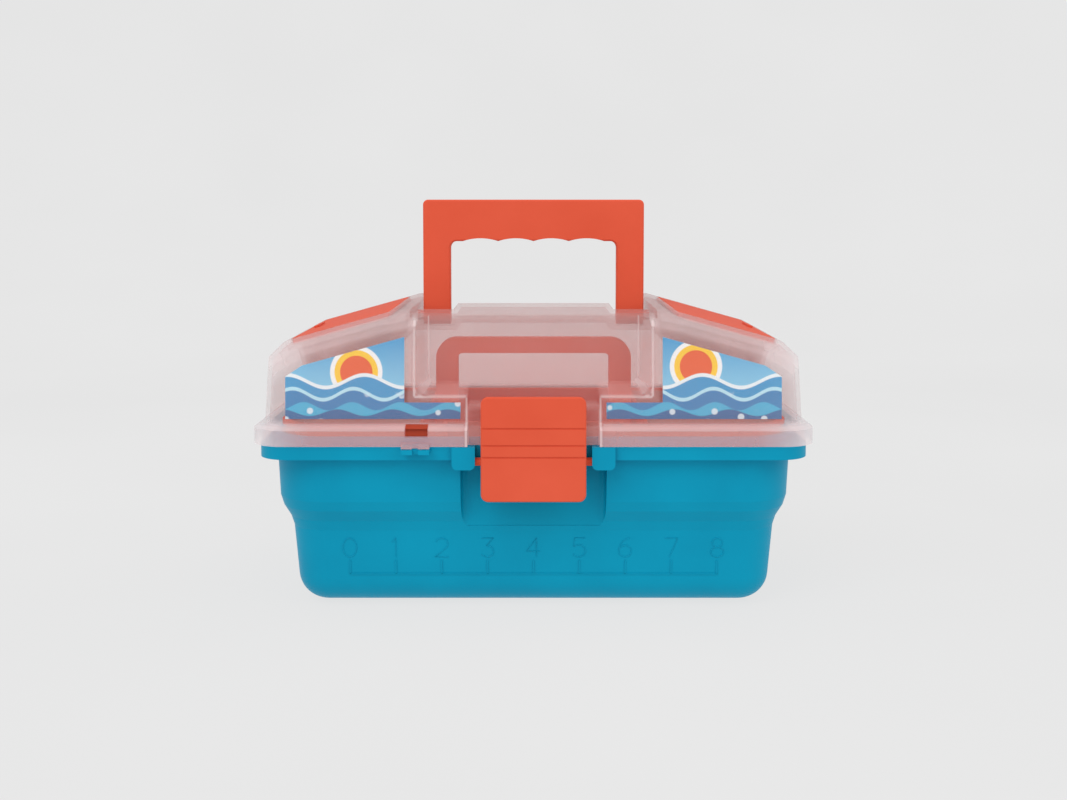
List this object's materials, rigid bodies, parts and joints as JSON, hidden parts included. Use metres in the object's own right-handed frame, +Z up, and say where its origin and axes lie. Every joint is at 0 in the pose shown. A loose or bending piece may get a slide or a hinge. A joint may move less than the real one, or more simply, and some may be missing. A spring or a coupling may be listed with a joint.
{
  "type": "tackle box",
  "caption": "Tackle box with a hinged clear lid, front latch, folding carry handle, top hatches over small wells and a lift-out tray with hinged covers.",
  "frame": {"origin": "on the ground under the middle of the box", "axes": "+X to the right along the box's length, +Y to the back where the lid hinges, +Z up"},
  "size_m": [0.306, 0.1854, 0.227],
  "materials": {
    "blue_plastic": "satin moulded",
    "clear_plastic": "translucent moulded",
    "orange_plastic": "satin moulded",
    "cover_plastic": "clear moulded",
    "pin_steel": "drawn wire",
    "printed_card": "printed"
  },
  "bodies": {
    "tub": {"tub": "blue_plastic", "hinge_pin_left": "pin_steel", "hinge_pin_right": "pin_steel"},
    "lid": {"lid": "clear_plastic", "card_left": "printed_card", "card_right": "printed_card"},
    "handle": {"carry_handle": "orange_plastic"},
    "latch": {"front_latch": "orange_plastic"},
    "hatch_left": {"hatch_left": "orange_plastic"},
    "hatch_right": {"hatch_right": "orange_plastic"},
    "tray": {"lift_out_tray": "orange_plastic", "tray_handle": "orange_plastic"},
    "cover_left": {"tray_cover_left": "cover_plastic"},
    "cover_right": {"tray_cover_right": "cover_plastic"}
  },
  "joints": [
    {"name": "lid_hinge", "type": "hinge", "parent": "tub", "child": "lid", "pos_m": [0, 0.0885, 0.0942], "axis": [-1, 0, 0], "range_deg": [0, 100]},
    {"name": "handle_fold", "type": "hinge", "parent": "lid", "child": "handle", "pos_m": [0, 0, 0.1585], "axis": [-1, 0, 0], "range_deg": [0, 90]},
    {"name": "latch_pivot", "type": "hinge", "parent": "tub", "child": "latch", "pos_m": [0, -0.0815, 0.0855], "axis": [1, 0, 0], "range_deg": [0, 40]},
    {"name": "hatch_left_hinge", "type": "hinge", "parent": "lid", "child": "hatch_left", "pos_m": [-0.08086, 0, 0.16321], "axis": [0, 1, 0], "range_deg": [0, 85]},
    {"name": "hatch_right_hinge", "type": "hinge", "parent": "lid", "child": "hatch_right", "pos_m": [0.08086, 0, 0.16321], "axis": [0, -1, 0], "range_deg": [0, 85]},
    {"name": "tray_lift", "type": "slide", "parent": "tub", "child": "tray", "axis": [0, 0, 1], "range_m": [0, 0.06]},
    {"name": "cover_left_hinge", "type": "hinge", "parent": "tray", "child": "cover_left", "pos_m": [-0.09, 0.0679, 0.1013], "axis": [-1, 0, 0], "range_deg": [0, 60]},
    {"name": "cover_right_hinge", "type": "hinge", "parent": "tray", "child": "cover_right", "pos_m": [0.09, 0.0679, 0.1013], "axis": [-1, 0, 0], "range_deg": [0, 60]}
  ],
  "couplings": [
    {"joint": "tray_lift", "follows": "lid_hinge", "m_per_rad": 0.034343},
    {"joint": "cover_left_hinge", "follows": "lid_hinge", "ratio": 0.5994},
    {"joint": "cover_right_hinge", "follows": "lid_hinge", "ratio": 0.5994}
  ]
}
